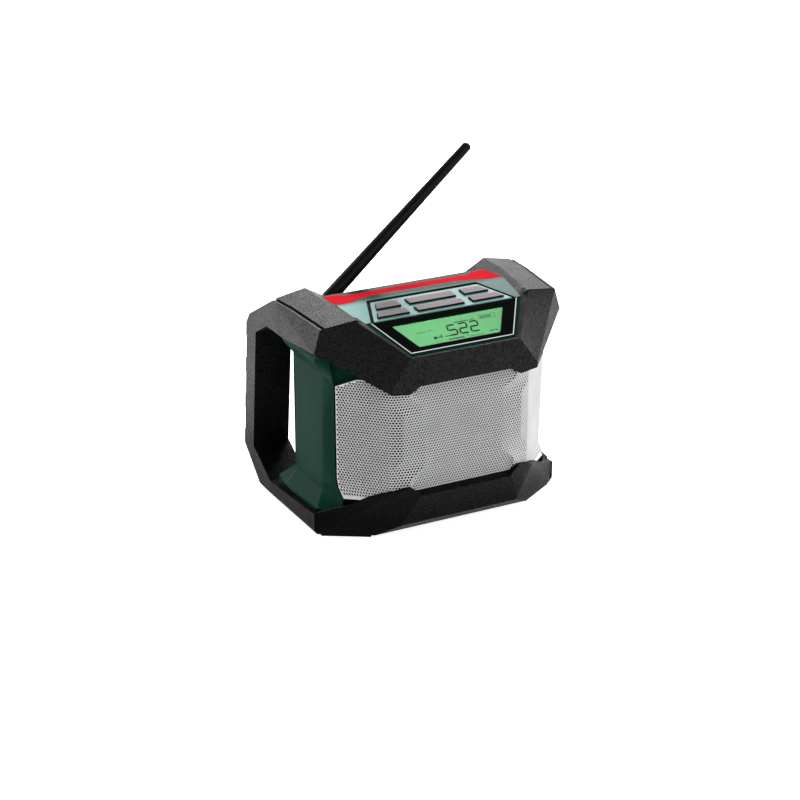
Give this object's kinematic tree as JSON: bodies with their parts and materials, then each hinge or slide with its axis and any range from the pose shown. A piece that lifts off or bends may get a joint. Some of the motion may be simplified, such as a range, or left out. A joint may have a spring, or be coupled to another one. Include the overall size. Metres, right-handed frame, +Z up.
{
  "type": "jobsite radio",
  "caption": "Rugged battery-driven radio with a perforated front grille, sloping display and keypad, roll-cage handles at both sides, folding rubber antenna and slide-on rear battery.",
  "frame": {"origin": "on the floor, under the middle of the radio's outer box", "axes": "+X to the radio's right as seen from its front, -Y out of the front grille, +Z up"},
  "size_m": [0.262, 0.2161, 0.331],
  "materials": {
    "housing_plastic": "fine moulded texture",
    "bumper_rubber": "fine grained rubber",
    "cap_plastic": "fine grained",
    "grille_paint": "satin, perforated",
    "grille_fabric": "acoustic cloth",
    "gloss_black": "polished",
    "clear_window": "clear, polished",
    "display_glow": "backlit green",
    "white_plastic": "moulded",
    "keypad_plastic": "fine grained",
    "key_rubber": "silicone rubber",
    "accent_red": "satin moulded",
    "antenna_rubber": "smooth rubber sleeve",
    "soft_rubber": "matte",
    "dark_plastic": "fine grained",
    "board_green": "solder mask",
    "bare_aluminium": "extruded",
    "zinc_steel": "zinc plated",
    "contact_brass": "plated contacts in a moulded block",
    "cell_wrap": "shrink wrap",
    "magnet_ferrite": "sintered",
    "cone_pulp": "pressed paper pulp"
  },
  "bodies": {
    "radio_body": {"front_housing": "housing_plastic", "rear_housing": "housing_plastic", "housing_gasket": "soft_rubber", "speaker_grille": "grille_paint", "grille_cloth": "grille_fabric", "left_handle": "bumper_rubber", "right_handle": "bumper_rubber", "left_corner_cap": "cap_plastic", "right_corner_cap": "cap_plastic", "upper_bumper": "bumper_rubber", "lower_bumper": "bumper_rubber", "display_bezel": "gloss_black", "display_window": "clear_window", "lcd_panel": "display_glow", "lcd_backlight": "white_plastic", "display_board": "board_green", "keypad_plate": "keypad_plastic", "keypad_mat": "soft_rubber", "keypad_board": "board_green", "accent_strip": "accent_red", "main_board": "board_green", "board_components": "dark_plastic", "heat_sink": "bare_aluminium", "ribbon_cable": "white_plastic", "left_speaker_basket": "zinc_steel", "left_speaker_magnet": "magnet_ferrite", "left_speaker_surround": "soft_rubber", "right_speaker_basket": "zinc_steel", "right_speaker_magnet": "magnet_ferrite", "right_speaker_surround": "soft_rubber", "speaker_screws": "zinc_steel", "antenna_socket": "dark_plastic", "terminal_block": "contact_brass", "aux_socket": "dark_plastic", "power_socket": "dark_plastic", "housing_screws": "zinc_steel", "base_screws": "zinc_steel"},
    "key_upper_left_body": {"key_upper_left": "key_rubber"},
    "key_upper_center_body": {"key_upper_center": "key_rubber"},
    "key_upper_right_body": {"key_upper_right": "key_rubber"},
    "key_lower_left_body": {"key_lower_left": "key_rubber"},
    "key_lower_center_body": {"key_lower_center": "key_rubber"},
    "key_lower_right_body": {"key_lower_right": "key_rubber"},
    "left_cone_body": {"left_speaker_cone": "cone_pulp"},
    "right_cone_body": {"right_speaker_cone": "cone_pulp"},
    "antenna_swivel": {"antenna_knuckle": "dark_plastic", "antenna_pin": "zinc_steel"},
    "antenna_mast": {"antenna_rod": "antenna_rubber"},
    "battery_pack": {"battery_case": "dark_plastic", "battery_lid": "dark_plastic", "battery_cells": "cell_wrap"},
    "battery_latch": {"battery_button": "accent_red"},
    "port_flap": {"port_cover": "soft_rubber"}
  },
  "joints": [
    {"name": "key_upper_left_press", "type": "slide", "parent": "radio_body", "child": "key_upper_left_body", "axis": [0, 0.1017, -0.9948], "range_m": [0, 0.0006], "stiffness_N_per_m": 500},
    {"name": "key_upper_center_press", "type": "slide", "parent": "radio_body", "child": "key_upper_center_body", "axis": [0, 0.1017, -0.9948], "range_m": [0, 0.0006], "stiffness_N_per_m": 500},
    {"name": "key_upper_right_press", "type": "slide", "parent": "radio_body", "child": "key_upper_right_body", "axis": [0, 0.1017, -0.9948], "range_m": [0, 0.0006], "stiffness_N_per_m": 500},
    {"name": "key_lower_left_press", "type": "slide", "parent": "radio_body", "child": "key_lower_left_body", "axis": [0, 0.1017, -0.9948], "range_m": [0, 0.0006], "stiffness_N_per_m": 500},
    {"name": "key_lower_center_press", "type": "slide", "parent": "radio_body", "child": "key_lower_center_body", "axis": [0, 0.1017, -0.9948], "range_m": [0, 0.0006], "stiffness_N_per_m": 500},
    {"name": "key_lower_right_press", "type": "slide", "parent": "radio_body", "child": "key_lower_right_body", "axis": [0, 0.1017, -0.9948], "range_m": [0, 0.0006], "stiffness_N_per_m": 500},
    {"name": "left_cone_stroke", "type": "slide", "parent": "radio_body", "child": "left_cone_body", "axis": [0, 1, 0], "range_m": [-0.001, 0.001], "stiffness_N_per_m": 1500},
    {"name": "right_cone_stroke", "type": "slide", "parent": "radio_body", "child": "right_cone_body", "axis": [0, 1, 0], "range_m": [-0.001, 0.001], "stiffness_N_per_m": 1500},
    {"name": "antenna_turn", "type": "hinge", "parent": "radio_body", "child": "antenna_swivel", "pos_m": [-0.075, 0.046, 0.19], "axis": [0, 1, 0], "range_deg": [-82, 32]},
    {"name": "antenna_tilt", "type": "hinge", "parent": "antenna_swivel", "child": "antenna_mast", "pos_m": [-0.075, 0.046, 0.19], "axis": [-0.6551, 0, 0.7555], "range_deg": [0, 90]},
    {"name": "battery_slide", "type": "slide", "parent": "radio_body", "child": "battery_pack", "axis": [0, 0, 1], "range_m": [0, 0.055]},
    {"name": "battery_release", "type": "slide", "parent": "battery_pack", "child": "battery_latch", "axis": [0, -1, 0], "range_m": [0, 0.0025], "stiffness_N_per_m": 600},
    {"name": "port_flap_hinge", "type": "hinge", "parent": "radio_body", "child": "port_flap", "pos_m": [0.06, 0.0564, 0.117], "axis": [-1, 0, 0], "range_deg": [0, 120]}
  ]
}
